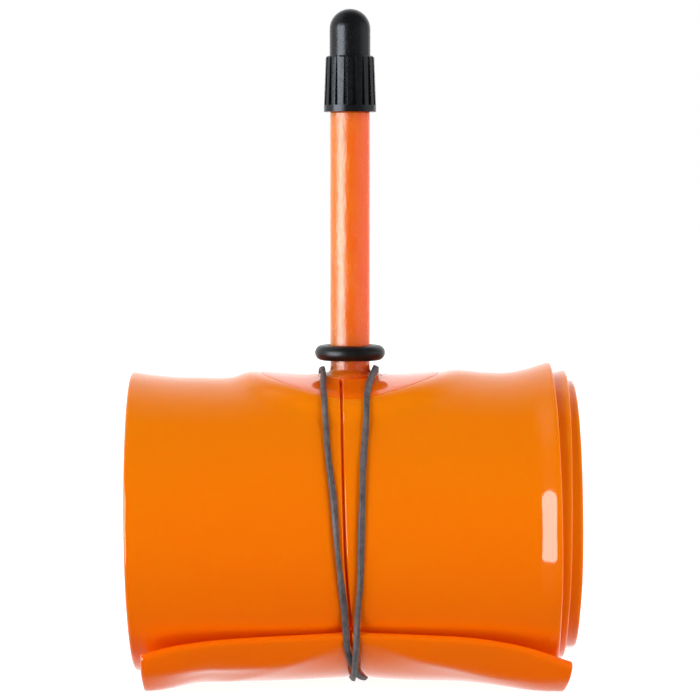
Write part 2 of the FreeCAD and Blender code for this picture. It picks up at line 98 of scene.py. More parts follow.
# How far the outer fold reaches past the lip angle: (mm along the roll, degrees)
LIP_REACH = [(-33, 12.2), (-30, 10.3), (-26, 8.1), (-22, 7.0), (-14.5, 6.2), (-7, 6.0), (0, 5.8),
             (11, 5.6), (19, 6.2), (25, 8.2), (29, 10.9), (33, 14.4)]

# How far the lip's free corners stand off the roll: (degrees from the lip, mm)
LIP_FLARE = [(-2, 1.5), (8, 1.75), (20, 2.4), (29, 2.55), (38, 1.8), (47, 0.6), (60, 0.1), (75, 0)]

# Where the lip's fold is sharpest: (mm along the roll, degrees from the lip)
LIP_RIDGE = [(-33, 14), (-29, 15.5), (-16, 18.5), (-9, 16.5), (-2, 9.5), (2, 8), (10, 14), (19, 21),
             (27, 20), (33, 18)]

# A second, softer fold in the left half: (mm along the roll, degrees from the lip)
LIP_CREASE = [(-22, 40), (-17, 34), (-10, 20), (-1.5, 11), (2, 8)]

# The rubber band, twice round: (degrees, mm along the roll, mm lifted off the film)
BAND_ROUTE = [
    (0, -4.15, 0.75), (15, -4.05, 0.35), (30, -3.85, 0.05), (45, -3.45, 0), (60, -3.0, 0),
    (75, -2.45, 0), (90, -1.9, 0), (105, -1.3, 0), (120, -0.7, 0), (135, -0.2, 0), (150, 0.7, 0),
    (165, 1.75, 0), (180, 2.4, 0), (210, 3.0, 0), (240, 3.35, 0), (270, 3.6, 0), (300, 3.75, 0),
    (330, 3.7, 0.05), (345, 3.85, 0.5), (360, 3.9, 0.95), (375, 3.25, 0.35), (390, 2.55, 0.05),
    (405, 2.2, 0), (420, 1.95, 0), (435, 1.8, 0), (450, 1.65, 0), (465, 1.4, 0), (480, 1.1, 0.2),
    (495, 0.8, 0.85), (510, 0.65, 0.7), (525, 0.5, 0.1), (540, 0.2, 0), (570, -1.6, 0),
    (600, -3.2, 0), (630, -4.0, 0), (660, -4.35, 0), (690, -4.4, 0.05), (705, -4.3, 0.35),
    (720, -4.15, 0.75)]
BAND_WIDTH = 0.88
BAND_THICKNESS = 0.66
BAND_CORNER = 0.13
BAND_RIDE = 0.32

# The pinched crease between the two strands: (degrees, mm along the roll)
CREASE_LINE = [(0, -1.45), (30, -1.3), (50, -1.15), (74, -0.95), (95, -0.70), (127, 0.1), (140, 0.4)]
CREASE_DEPTH = 1.5
CREASE_WIDTH = 0.14
CREASE_LIP = 0.02

# Colours, from the deep shade to the pale one. The film's, patch's and stem's colours also hold
# painted light and shade: their pale ends are painted where more light falls, their deep ends where
# less falls.
FILM_DEEP_AND_PAINTED_SHADE = (0.82, 0.130, 0.0005)
FILM_PALE_AND_PAINTED_LIGHT = (0.83, 0.225, 0.0010)
PATCH_DEEP_AND_PAINTED_SHADE = (0.86, 0.105, 0.0005)
PATCH_PALE_AND_PAINTED_LIGHT = (0.90, 0.150, 0.0010)
# The stem's colours run from a pale painted-light yellow on its lit left to a deep painted-shade red
# on its right.
STEM_PAINTED_LIGHT_SHADES = [(0.15, (0.83, 0.26, 0.016)), (0.5, (0.83, 0.15, 0.007)), (0.8, (0.84, 0.09, 0.005))]
BAND_DEEP = (0.046, 0.038, 0.040)
BAND_PALE = (0.135, 0.116, 0.120)
RING_DEEP = (0.005, 0.005, 0.005)
RING_PALE = (0.010, 0.009, 0.009)
CAP_DEEP = (0.005, 0.005, 0.006)
CAP_PALE = (0.009, 0.009, 0.010)
SEAL_DEEP = (0.012, 0.012, 0.013)
SEAL_PALE = (0.02, 0.02, 0.021)
BRASS_DEEP = (0.62, 0.53, 0.36)
BRASS_PALE = (0.74, 0.66, 0.48)
# Painted glow: the film and stem give off a little red light of their own, which lifts their shade
# the way light passing through the film would.
FILM_PAINTED_GLOW = (1.0, 0.06, 0.0, 1)
STEM_PAINTED_GLOW = (1.0, 0.05, 0.0, 1)
CAP_SHINE = (0.84, 0.91, 1.0)
RING_SHINE = (0.9, 0.95, 1.0)

# The surround, as greys along an axis running from 0 to 1: (place, grey)
BEHIND = [(0.0, 0.03), (0.5, 0.05), (0.66, 0.3), (0.80, 0.85), (0.95, 1.3)]
LEFT = [(0.16, 0.95), (0.4, 0)]
LEFT_SHARE = [(0.33, 0.1), (0.52, 1)]
RIGHT = [(0.6, 0), (0.85, 0.12), (0.93, 0.3), (0.99, 1.0)]

# The softbox that shows in the gloss: name, place, aim, width, height, power
SOFTBOX = ("left_softbox", (-0.57, -0.41, 0.055), (0, 0, 0.05), 0.56, 0.58, 10.2)
SOFTBOX_COLOUR = (0.96, 0.98, 1.0)

# Fills, which light the object but don't show in its gloss
FILLS = [
    ("left_fill", (-0.57, -0.41, 0.04), (0, 0, 0.03), 0.56, 0.58, 1.9),
    ("right_fill", (0.50, -0.48, 0.04), (0, 0, 0.03), 0.5, 0.5, 2.2),
    ("top_left", (-0.55, -0.35, 0.60), (0, 0, 0.03), 0.4, 0.4, 2.9),
    ("top_right", (0.55, -0.35, 0.60), (0, 0, 0.03), 0.4, 0.4, 2.1),
    ("low_left", (-0.45, -0.40, -0.40), (0, 0, 0.01), 0.4, 0.3, 1.6),
    ("low_right", (0.45, -0.40, -0.40), (0, 0, 0.01), 0.4, 0.3, 1.2)]

# The camera stands a little above the roll and looks slightly down
CAMERA_PLACE = (0.0, -0.435, 0.0729)
CAMERA_TILT = 2.99
CAMERA_LENS = 147.6


def smooth_curve(points, at):
    """A smooth curve through (place, value) points, level outside them."""
    place = np.array([p[0] for p in points], float)
    value = np.array([p[1] for p in points], float)
    slope = np.gradient(value, place)
    at = np.clip(np.asarray(at, float), place[0], place[-1])
    k = np.clip(np.searchsorted(place, at, side="right") - 1, 0, len(place) - 2)
    width = place[k + 1] - place[k]
    u = (at - place[k]) / width
    rise = value[k + 1] - value[k]
    a = slope[k] * width - rise
    b = rise - slope[k + 1] * width
    return value[k] + u * rise + u * (1 - u) * ((1 - u) * a + u * b)


def smooth_step(low, high, at):
    """0 at low and 1 at high, with level ends."""
    u = np.clip((at - low) / (high - low), 0, 1)
    return u * u * (3 - 2 * u)


def bell(at, width):
    """1 at nought, falling to nothing on both sides."""
    return np.exp(-((at / width) ** 2))


def wound_radius(t):
    """The spiral's radius, t degrees in from the lip."""
    return ROLL_RADIUS - PITCH * t / 360


def strand_places(angle):
    """Where the band's two strands cross this angle, in mm along the roll."""
    turn = np.mod(angle, 360)
    route = [(row[0], row[1]) for row in BAND_ROUTE]
    return smooth_curve(route, turn), smooth_curve(route, turn + 360)


def patch_fall(x):
    """How steeply the saddle falls away to the front and back."""
    return PATCH_FALL + PATCH_FOOT_FALL * bell(x, PATCH_FOOT_WIDTH)


def patch_height(x, y):
    """The stiff saddle that the patch and the film under it make."""
    return PATCH_CROWN + PATCH_SADDLE * x * x - patch_fall(x) * y * y


def patch_reach(angle, x):
    """Distance from the roll's axis to the saddle in this direction."""
    across = np.sin(np.radians(angle))
    up = np.cos(np.radians(angle))
    a = np.maximum(patch_fall(x) * across * across, 1e-7)
    c = PATCH_CROWN + PATCH_SADDLE * x * x - AXIS_HEIGHT
    return (-up + np.sqrt(up * up + 4 * a * c)) / (2 * a)


def pinch(angle, x):
    """The narrow crease between the strands, with its two rounded lips."""
    off = x - smooth_curve(CREASE_LINE, angle)
    along = smooth_step(7, 12, angle) * (1 - smooth_step(122, 140, angle))
    valley = -CREASE_DEPTH * bell(off, CREASE_WIDTH)
    lips = CREASE_LIP * (bell(off - 0.5, 0.35) + bell(off + 0.5, 0.35))
    return along * (valley + lips)


def stand_off(t, x):
    """How far the film stands off the true spiral, in mm."""
    angle = np.mod(LIP_ANGLE + t + 180, 360) - 180
    top_share = np.cos(np.radians(np.clip(angle, -80, 80) * 90 / 80)) ** 2
    waist = -WAIST_DEPTH * bell(x, WAIST_WIDTH)
    ends = RIGHT_FLARE * smooth_step(26.8, 30.9, x) + LEFT_FLARE * smooth_step(28.5, 33, -x)
    ends = ends * smooth_step(130, 100, np.abs(angle)) + 0.12 * smooth_step(15, 30, np.abs(x))
    ends = ends + 0.1 * bell(x + 29.6, 0.6) * smooth_step(110, 60, np.abs(angle))
    off = (1 - top_share) * (waist + ends) + top_share * smooth_curve(TOP_RISE, x)
    soft = 0.12 * np.sin(x / 7.3 + 0.9) * np.sin(np.radians(2 * angle) + x / 19)
    off = off + soft * (1 - 0.7 * top_share)

    first, second = strand_places(angle)
    pressed = -DENT_DEPTH * (bell(x - first, DENT_WIDTH) + bell(x - second, DENT_WIDTH))
    shallow = -DIP_DEPTH * (bell(x - first, DIP_WIDTH) + bell(x - second, DIP_WIDTH))
    off = off + (pressed + shallow) * (1 - 0.8 * top_share)

    on_patch = np.abs(angle) < 60
    near = np.where(on_patch, angle, 60.0)
    reach = patch_reach(near, x)
    y = -reach * np.sin(np.radians(near))
    gone = np.hypot(x, y)
    share = np.where(on_patch, 1 - smooth_step(PATCH_RADIUS + 0.2, PATCH_RADIUS + 4.5, gone), 0)
    outer_t = np.mod(angle - LIP_ANGLE, 360)
    off = (1 - share) * off + share * (reach - wound_radius(outer_t))
    return off + pinch(angle, x)


def lip_stand_off(t, x):
    """The outer fold's free corners curl away from the roll and rest on the floor."""
    at_fold = np.clip((np.abs(x) - 5) / 26, 0, 1) ** 1.5
    at_floor = np.where(x < 0, smooth_step(20, 31.5, -x), smooth_step(13, 32, x))
    away = at_fold + (at_floor - at_fold) * smooth_step(6, 26, t)
    past = t - smooth_curve(LIP_RIDGE, x)
    soft = np.sqrt(past * past + 2.0) - 1.4
    ridge = np.exp(-soft / np.where(past < 0, 7.0, 11.0))
    height = 0.35 + 0.6 * smooth_step(2, 12, np.abs(x)) - 0.35 * smooth_step(22, 31, np.abs(x))
    below = t - smooth_curve(LIP_CREASE, x)
    soft = np.sqrt(below * below + 1.5) - 1.2
    crease = np.exp(-soft / np.where(below < 0, 4.0, 7.0))
    crease = crease * smooth_step(-23, -17, x) * smooth_step(0, -5, x)
    folds = height * ridge + 0.22 * crease
    return smooth_curve(LIP_FLARE, t) * away + folds * smooth_step(75, 50, t)


def film_place(t, rise, x):
    """The place in space of a point of film, rise mm outside the spiral at t."""
    t = t + smooth_curve(LIP_REACH, x) * np.clip(1 - t / 60, 0, 1.05)
    x = x * (1 - 0.023 * bell(t - 38, 18))
    spiral = wound_radius(t)
    depth_share = np.clip((spiral + rise - 5) / 15, 0, 1)
    off = stand_off(t, x) * depth_share + np.where(t < 80, lip_stand_off(t, x), 0)
    radius = np.maximum(spiral + rise + off, 0.4)
    angle = np.radians(LIP_ANGLE + t)
    y = -radius * np.sin(angle)
    z = AXIS_HEIGHT + radius * np.cos(angle)
    floor_gap = 0.03
    return x, y, np.where(z < floor_gap, floor_gap + 0.02 * (z - floor_gap), z)


def outer_place(angle, x, above):
    """A point above the roll's outermost face at this angle."""
    t = np.mod(angle - LIP_ANGLE, 360)
    return film_place(t, -LAYER_A_DEPTH + HALF_THICKNESS + above, x)


def mesh_object(name, vertices, faces):
    """A smooth-shaded object from places in millimetres."""
    mesh = bpy.data.meshes.new(name)
    mesh.from_pydata([tuple(v) for v in np.asarray(vertices) * MM], [], faces)
    mesh.validate()
    mesh.polygons.foreach_set("use_smooth", [True] * len(mesh.polygons))
    mesh.update()
    made = bpy.data.objects.new(name, mesh)
    bpy.context.scene.collection.objects.link(made)
    return made


def columns():
    """Places across the sheet: every one, and which of them the inner turns use."""
    edge = [HALF_WIDTH - EDGE_RADIUS * (1 - math.cos(math.radians(a))) for a in (0, 25, 50, 75)]
    edge += [HALF_WIDTH - d for d in (0.6, 0.9, 1.3, 1.8, 2.4, 3.0, 3.7, 4.5, 5.5)]
    middle = list(np.arange(2.2, 25.6, 1.05))
    right = sorted(edge + middle)
    pinched = list(np.arange(-2.1, 2.12, 0.1))
    all_places = sorted([-p for p in right] + pinched + right)
    coarse = sorted(set([-p for p in edge[:6]] + edge[:6]))
    inside = [p for p in all_places if abs(p) < 30.5][::7]
    kept = set(coarse + inside)
    return np.array(all_places), [k for k, p in enumerate(all_places) if p in kept]


def edge_round(place):
    """The sheet's thickness falls to nothing in a round fold at each edge."""
    past = np.clip((np.abs(place) - (HALF_WIDTH - EDGE_RADIUS)) / EDGE_RADIUS, 0, 1)
    return np.sqrt(np.maximum(1 - past * past, 0))


def edge_puff(place):
    """Air left in the folded edges swells the outer face there."""
    inward = HALF_WIDTH - np.abs(place)
    swell = smooth_step(PUFF_WIDTH + 3.5, PUFF_WIDTH - 1.0, inward)
    fall = np.clip(1 - inward / PUFF_WIDTH, 0, 1)
    return PUFF_HEIGHT * swell, EDGE_DROP * (1 - np.sqrt(1 - 0.98 * fall * fall))


def winding_path():
    """Stations along the doubled sheet: degrees, depth, and the sheet's facing (along, out)."""
    fold = (LAYER_B_DEPTH - LAYER_A_DEPTH) / 2
    middle = (LAYER_B_DEPTH + LAYER_A_DEPTH) / 2
    fine = list(np.arange(0, 60, 2.0)) + list(np.arange(60, FINE_WINDING, 2.5))
    coarse = list(np.arange(FINE_WINDING, WINDING, 12.0)) + [WINDING]
    rows = []
    for a in (150, 120, 90, 60, 30):
        along, out = -math.sin(math.radians(a)), math.cos(math.radians(a))
        rows.append((along * fold * 2.4, middle - fold * out, along, out))
    rows += [(t, LAYER_A_DEPTH, 0, 1) for t in fine + coarse]
    for a in (45, 90, 135):
        along, out = math.sin(math.radians(a)), math.cos(math.radians(a))
        rows.append((WINDING + 8 * along, middle - fold * out, along, out))
    rows += [(t, LAYER_B_DEPTH, 0, -1) for t in reversed(fine + coarse)]
    return rows


def make_film():
    """The doubled strip as one closed mesh: rings round the strip, one at each station."""
    places, coarse = columns()
    count = len(places)
    puff, drop = edge_puff(places)
    rounding = edge_round(places)
    path = winding_path()
    vertices, rings, start = [], [], 0
    for t, depth, along, out in path:
        fine = t < FINE_WINDING
        outer_turn = float(smooth_step(FINE_WINDING + 200, FINE_WINDING - 60, t))
        keep = np.arange(count) if fine else np.array(coarse)
        back = np.array(coarse)[::-1][1:-1]
        chosen = np.concatenate([keep, back])
        side = np.concatenate([np.ones(len(keep)), -np.ones(len(back))])
        thick = HALF_THICKNESS * rounding[chosen]
        if out > 0.5:
            thick = thick + np.where(side > 0, puff[chosen] * rounding[chosen] * outer_turn, 0)
        facing = side * thick
        radius = max(wound_radius(t), 3)
        shift = smooth_curve(DRIFT, max(t, 0))
        x = places[chosen] + float(shift)
        here = t + np.degrees(along * facing / radius)
        rise = -depth + out * facing - drop[chosen]
        vertices.append(np.stack(film_place(here, rise, x), axis=1))
        total = len(chosen)
        rings.append((start, total, list(chosen), len(keep)))
        start += total
    faces = []
    for k in range(len(rings)):
        faces += bridge(rings[k], rings[(k + 1) % len(rings)])
    return mesh_object("tube_film", np.concatenate(vertices), faces)


def bridge(one, two):
    """Faces between two rings. Where one ring has more columns, they share wider faces."""
    if one[1] == two[1]:
        n = one[1]
        return [(one[0] + i, one[0] + (i + 1) % n, two[0] + (i + 1) % n, two[0] + i)
                for i in range(n)]
    flip = one[1] < two[1]
    fine, wide = (two, one) if flip else (one, two)
    faces = []
    n = wide[1]
    spot = {}
    for i, column in enumerate(fine[2]):
        spot[(column, i < fine[3])] = i
    for i in range(n):
        j = (i + 1) % n
        first = spot[(wide[2][i], i < wide[3])]
        second = spot[(wide[2][j], j < wide[3])]
        run = []
        k = first
        while k != second:
            run.append(fine[0] + k)
            k = (k + 1) % fine[1]
        run.append(fine[0] + second)
        face = run + [wide[0] + j, wide[0] + i]
        faces.append(tuple(reversed(face)) if flip else tuple(face))
    return faces


def make_patch():
    """The disc welded round the valve's foot: top face, rounded rim and underside."""
    across = [0.0, 0.15, 0.3, 0.5, 0.8, 1.2, 1.7, 2.4, 3.2, 4.2, 5.2, 6.4, 7.6, 8.8, 10.0, 11.1]
    side = [PATCH_RADIUS - d for d in (1.6, 1.1, 0.75, 0.5, 0.33, 0.2, 0.1, 0.03, 0.0)]
    right = [p for p in across if p > 2.2] + side
    xs = sorted([-p for p in right] + list(np.arange(-2.1, 2.12, 0.1)) + right)
    rows = [math.sin(math.radians(a)) for a in np.linspace(-90, 90, 91)]
    grid_top, grid_low = [], []
    for x in xs:
        reach = math.sqrt(max(PATCH_RADIUS ** 2 - x * x, 0))
        for v in rows:
            y = v * reach
            gone = math.hypot(x, y)
            z = patch_height(x, y)
            angle = math.degrees(math.atan2(-y, z - AXIS_HEIGHT))
            past = max(0.0, gone - (PATCH_RADIUS - PATCH_RIM)) / PATCH_RIM
            rim = max(0.0, 1 - past * past)
            bead = WELD_HEIGHT * max(0.0, 1 - max(0.0, gone - WELD_PLACE) / 1.7) ** 2
            bead = bead * min(1.0, max(0.0, (gone - WELD_PLACE + 0.5) / 0.5))
            creased = float(pinch(np.float64(angle), np.float64(x)))
            up = (math.sin(math.radians(angle)), math.cos(math.radians(angle)))
            top = creased + PATCH_THICKNESS * rim + bead + 0.02
            low = creased - 0.05
            grid_top.append((x, y - top * up[0], z + top * up[1]))
            grid_low.append((x, y - low * up[0], z + low * up[1]))
    n, m = len(xs), len(rows)
    vertices = grid_top + grid_low
    faces = []
    for i in range(n - 1):
        for j in range(m - 1):
            a, b, c, d = i * m + j, (i + 1) * m + j, (i + 1) * m + j + 1, i * m + j + 1
            faces.append((a, b, c, d))
            faces.append((a + n * m, d + n * m, c + n * m, b + n * m))
    outline = [i * m for i in range(n)] + [i * m + m - 1 for i in reversed(range(n))]
    for k in range(len(outline)):
        a, b = outline[k], outline[(k + 1) % len(outline)]
        faces.append((b, a, a + n * m, b + n * m))
    made = mesh_object("valve_patch", vertices, faces)
    weld_doubles(made)
    return made


def weld_doubles(made):
    """Points that fall together become one, and the faces turn outward."""
    work = bmesh.new()
    work.from_mesh(made.data)
    bmesh.ops.remove_doubles(work, verts=work.verts, dist=0.004 * MM)
    bmesh.ops.recalc_face_normals(work, faces=work.faces)
    work.to_mesh(made.data)
    work.free()
    made.data.polygons.foreach_set("use_smooth", [True] * len(made.data.polygons))


def make_band():
    """A flat strip of rubber following the route, turning slowly on itself."""
    steps = np.arange(0, 720, 2.0)
    x = smooth_curve([(r[0], r[1]) for r in BAND_ROUTE], steps)
    x = x + 0.07 * np.sin(np.radians(steps * 5.5 + 30)) + 0.04 * np.sin(np.radians(steps * 11))
    lift = smooth_curve([(r[0], r[2]) for r in BAND_ROUTE], steps)
    _, y, z = outer_place(steps, x, BAND_RIDE + lift)
    centre = np.stack([x, y, z], axis=1)
    for _ in range(2):
        centre = 0.25 * np.roll(centre, 1, 0) + 0.5 * centre + 0.25 * np.roll(centre, -1, 0)
    along = np.roll(centre, -1, 0) - np.roll(centre, 1, 0)
    along /= np.linalg.norm(along, axis=1)[:, None]
    angle = np.radians(steps)
    out = np.stack([np.zeros_like(angle), -np.sin(angle), np.cos(angle)], axis=1)
    out -= along * np.sum(out * along, axis=1)[:, None]
    out /= np.linalg.norm(out, axis=1)[:, None]
    across = np.cross(along, out)
    slow = 30 * np.sin(np.radians(steps * 1.5 + 20))
    quick = 24 * np.sin(np.radians(steps * 4 + 40)) + 16 * np.sin(np.radians(steps * 7.5 + 100))
    twist = np.radians(36 + slow + quick)
    side = BAND_WIDTH / 2 - BAND_CORNER
    top = BAND_THICKNESS / 2 - BAND_CORNER
    outline = []
    for cx, cy, first in ((1, 1, 0), (-1, 1, 90), (-1, -1, 180), (1, -1, 270)):
        for a in (0, 30, 60, 90):
            turn = math.radians(first + a)
            round_x = BAND_CORNER * math.cos(turn)
            round_y = BAND_CORNER * math.sin(turn)
            outline.append((cx * side + round_x, cy * top + round_y))
    vertices = []
    for k in range(len(steps)):
        swell = 1 + 0.04 * math.sin(k * 0.37) + 0.03 * math.sin(k * 0.11 + 1)
        c, s = math.cos(twist[k]), math.sin(twist[k])
        for u, v in outline:
            p = centre[k] + across[k] * (u * c - v * s) * swell + out[k] * (u * s + v * c)
            vertices.append(p)
    m = len(outline)
    n = len(steps)
    faces = []
    for k in range(n):
        for i in range(m):
            j = (i + 1) % m
            a, b = k * m, ((k + 1) % n) * m
            faces.append((a + i, b + i, b + j, a + j))
    made = mesh_object("band_strip", vertices, faces)
    weld_doubles(made)
    return made


# Materials

def new_material(name):
    """A material with its node tree and main shader."""
    material = bpy.data.materials.new(name)
    material.use_nodes = True
    tree = material.node_tree
    shader = tree.nodes["Principled BSDF"]
    return material, tree, shader


def add_noise(tree, scale, detail=3.0, stretch=(1, 1, 1), rough=0.5):
    """Cloudy noise over the object's own coordinates."""
    place = tree.nodes.new("ShaderNodeTexCoord")
    spread = tree.nodes.new("ShaderNodeMapping")
    spread.inputs["Scale"].default_value = stretch
    tree.links.new(place.outputs["Object"], spread.inputs["Vector"])
    made = tree.nodes.new("ShaderNodeTexNoise")
    made.inputs["Scale"].default_value = scale
    made.inputs["Detail"].default_value = detail
    made.inputs["Roughness"].default_value = rough
    tree.links.new(spread.outputs["Vector"], made.inputs["Vector"])
    return made.outputs["Fac"]


def add_ramp(tree, value, stops):
    """A value turned into a colour by (place, colour) stops."""
    ramp = tree.nodes.new("ShaderNodeValToRGB")
    while len(ramp.color_ramp.elements) < len(stops):
        ramp.color_ramp.elements.new(0.5)
    for element, (at, colour) in zip(ramp.color_ramp.elements, stops):
        element.position = at
        element.color = (*colour, 1)
    tree.links.new(value, ramp.inputs["Fac"])
    return ramp.outputs["Color"]


def add_range(tree, value, low, high):
    """Noise stretched to run from low to high."""
    made = tree.nodes.new("ShaderNodeMapRange")
    made.inputs["From Min"].default_value = 0.3
    made.inputs["From Max"].default_value = 0.7
    made.inputs["To Min"].default_value = low
    made.inputs["To Max"].default_value = high
    tree.links.new(value, made.inputs["Value"])
    return made.outputs["Result"]


def add_bump(tree, shader, heights):
    """Layers of bump: (height, strength, distance in metres)."""
    last = None
    for value, strength, distance in heights:
        bump = tree.nodes.new("ShaderNodeBump")
        bump.inputs["Strength"].default_value = strength
        bump.inputs["Distance"].default_value = distance
        tree.links.new(value, bump.inputs["Height"])
        if last is not None:
            tree.links.new(last, bump.inputs["Normal"])
        last = bump.outputs["Normal"]
    tree.links.new(last, shader.inputs["Normal"])


def add_slope(tree, axis, low, high, share, value):
    """A value that rises along an axis of the object, mixed with another by this share."""
    place = tree.nodes.new("ShaderNodeTexCoord")
    split = tree.nodes.new("ShaderNodeSeparateXYZ")
    tree.links.new(place.outputs["Object"], split.inputs["Vector"])
    height = tree.nodes.new("ShaderNodeMapRange")
    height.inputs["From Min"].default_value = low
    height.inputs["From Max"].default_value = high
    tree.links.new(split.outputs[axis], height.inputs["Value"])
    mixed = tree.nodes.new("ShaderNodeMix")
    mixed.inputs["Factor"].default_value = share
    tree.links.new(value, mixed.inputs["A"])
    tree.links.new(height.outputs["Result"], mixed.inputs["B"])
    return mixed.outputs["Result"]


def film_material(name, deep, pale, roughness):
    """Glossy film that light sinks into a little, with painted light: paler toward the top, deeper
    low down, and a faint painted red glow.
    """
    material, tree, shader = new_material(name)
    cloud = add_noise(tree, 38, 2.0, (0.6, 1, 1))
    # Painted light and shade: the colour follows height, so the film is painted deeper near the
    # floor and paler toward the top, mixed with random mottling.
    tone_and_painted_light = add_slope(tree, "Z", 0.0, 0.044, 0.7, cloud)
    colour = add_ramp(tree, tone_and_painted_light, [(0.15, deep), (0.85, pale)])
    tree.links.new(colour, shader.inputs["Base Color"])
    smear = add_noise(tree, 160, 4.0, (0.35, 1, 1))
    shine = add_range(tree, smear, roughness - 0.02, roughness + 0.03)
    tree.links.new(shine, shader.inputs["Roughness"])
    shader.inputs["Subsurface Weight"].default_value = 0.3
    shader.inputs["Subsurface Radius"].default_value = (1.0, 0.18, 0.03)
    shader.inputs["Subsurface Scale"].default_value = 0.0005
    # Painted glow: a faint red emission lifts the shade in the folds and between the turns.
    shader.inputs["Emission Color"].default_value = FILM_PAINTED_GLOW
    shader.inputs["Emission Strength"].default_value = 0.07
    shader.inputs["IOR"].default_value = 1.5
    ripple = add_noise(tree, 120, 1.0, (0.5, 1, 1))
    grain = add_noise(tree, 1500, 3.0)
    add_bump(tree, shader, [(ripple, 0.25, 0.0004), (grain, 0.12, 0.00004)])
    return material


def stem_material():
    """Stiffer plastic with a wrinkled, wet-looking skin, with painted light: paler on the left where
    the main light falls, redder toward the shaded right, and a faint painted red glow.
    """
    material, tree, shader = new_material("stem_orange")
    streak = add_noise(tree, 420, 4.0, (1, 1, 0.45), 0.65)
    # Painted light: the colour runs across the stem, paler on its left where the main light falls
    # and redder on its shaded right, mixed with random streaks.
    tone_and_painted_light = add_slope(tree, "X", -0.003, 0.003, 0.6, streak)
    colour = add_ramp(tree, tone_and_painted_light, STEM_PAINTED_LIGHT_SHADES)
    tree.links.new(colour, shader.inputs["Base Color"])
    smear = add_noise(tree, 520, 5.0, (1, 1, 0.4), 0.7)
    tree.links.new(add_range(tree, smear, 0.12, 0.34), shader.inputs["Roughness"])
    shader.inputs["Subsurface Weight"].default_value = 0.2
    shader.inputs["Subsurface Radius"].default_value = (1.0, 0.25, 0.05)
    shader.inputs["Subsurface Scale"].default_value = 0.0012
    shader.inputs["IOR"].default_value = 1.6
    # Painted glow: a faint red emission lifts the stem's shade.
    shader.inputs["Emission Color"].default_value = STEM_PAINTED_GLOW
    shader.inputs["Emission Strength"].default_value = 0.04
    scuff = add_noise(tree, 620, 3.0, (1, 1, 0.4), 0.6)
    wrinkle = add_noise(tree, 2300, 4.0, (1, 1, 0.3), 0.65)
    add_bump(tree, shader, [(scuff, 0.5, 0.00024), (wrinkle, 0.6, 0.00012)])
    return material


def rubber_material(name, deep, pale, roughness, scale, tint=(1, 1, 1)):
    """Dark rubber or plastic, slightly mottled."""
    material, tree, shader = new_material(name)
    shader.inputs["IOR"].default_value = 1.4
    shader.inputs["Specular Tint"].default_value = (*tint, 1)
    cloud = add_noise(tree, scale, 5.0, (1, 1, 1), 0.7)
    colour = add_ramp(tree, cloud, [(0.3, deep), (0.7, pale)])
    tree.links.new(colour, shader.inputs["Base Color"])
    smear = add_noise(tree, scale * 2.3, 3.0)
    shine = add_range(tree, smear, roughness - 0.07, roughness + 0.07)
    tree.links.new(shine, shader.inputs["Roughness"])
    grain = add_noise(tree, scale * 5, 4.0)
    add_bump(tree, shader, [(grain, 0.3, 0.00004)])
    return material


def brass_material():
    """Nickelled brass with fine turning marks."""
    material, tree, shader = new_material("nickelled_brass")
    cloud = add_noise(tree, 500, 3.0)
    colour = add_ramp(tree, cloud, [(0.3, BRASS_DEEP), (0.7, BRASS_PALE)])
    tree.links.new(colour, shader.inputs["Base Color"])
    shader.inputs["Metallic"].default_value = 1.0
    turning = add_noise(tree, 900, 2.0, (0.15, 0.15, 6))
    tree.links.new(add_range(tree, turning, 0.22, 0.38), shader.inputs["Roughness"])
    add_bump(tree, shader, [(turning, 0.25, 0.00003)])
    return material


def dress(made, material):
    """One of this script's pieces takes a material."""
    made.data.materials.clear()
    made.data.materials.append(material)


def dress_node(node, material):
    """A carried-over CAD node takes a material."""
    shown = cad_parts[node]
    for k in range(len(shown.data.materials)):
        shown.data.materials[k] = material
    if not shown.data.materials:
        shown.data.materials.append(material)


film = make_film()
patch = make_patch()
band = make_band()

dress(film, film_material("film_orange", FILM_DEEP_AND_PAINTED_SHADE, FILM_PALE_AND_PAINTED_LIGHT, 0.065))
dress(patch, film_material("patch_orange", PATCH_DEEP_AND_PAINTED_SHADE, PATCH_PALE_AND_PAINTED_LIGHT, 0.10))
dress(band, rubber_material("band_grey", BAND_DEEP, BAND_PALE, 0.60, 900))
dress_node("valve_stem", stem_material())
ring_black = rubber_material("ring_black", RING_DEEP, RING_PALE, 0.36, 600, RING_SHINE)
dress_node("stem_o_ring", ring_black)
cap_black = rubber_material("cap_black", CAP_DEEP, CAP_PALE, 0.28, 900, CAP_SHINE)
dress_node("dust_cap", cap_black)
seal = rubber_material("seal_black", SEAL_DEEP, SEAL_PALE, 0.5, 1200)
dress_node("core_gasket", seal)
dress_node("plunger_seal", seal)
brass = brass_material()
for node in ("core_body", "plunger_rod", "lock_nut"):
    dress_node(node, brass)

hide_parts("tube_roll")
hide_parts("valve_base_patch")
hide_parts("rubber_band")
for piece, slot in ((film, "tube_film"), (patch, "patch_film"), (band, "band_rubber")):
    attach(piece, "root")


# The studio

def area_light(name, place, aim, width, height, power, colour=(1, 1, 1)):
    """A rectangular light that the camera doesn't see."""
    data = bpy.data.lights.new(name, "AREA")
    data.shape = "RECTANGLE"
    data.size = width
    data.size_y = height
    data.energy = power
    data.color = colour
    made = bpy.data.objects.new(name, data)
    made.location = place
    toward = Vector(aim) - Vector(place)
    made.rotation_euler = toward.to_track_quat("-Z", "Y").to_euler()
    made.visible_camera = False
    bpy.context.scene.collection.objects.link(made)
    return made


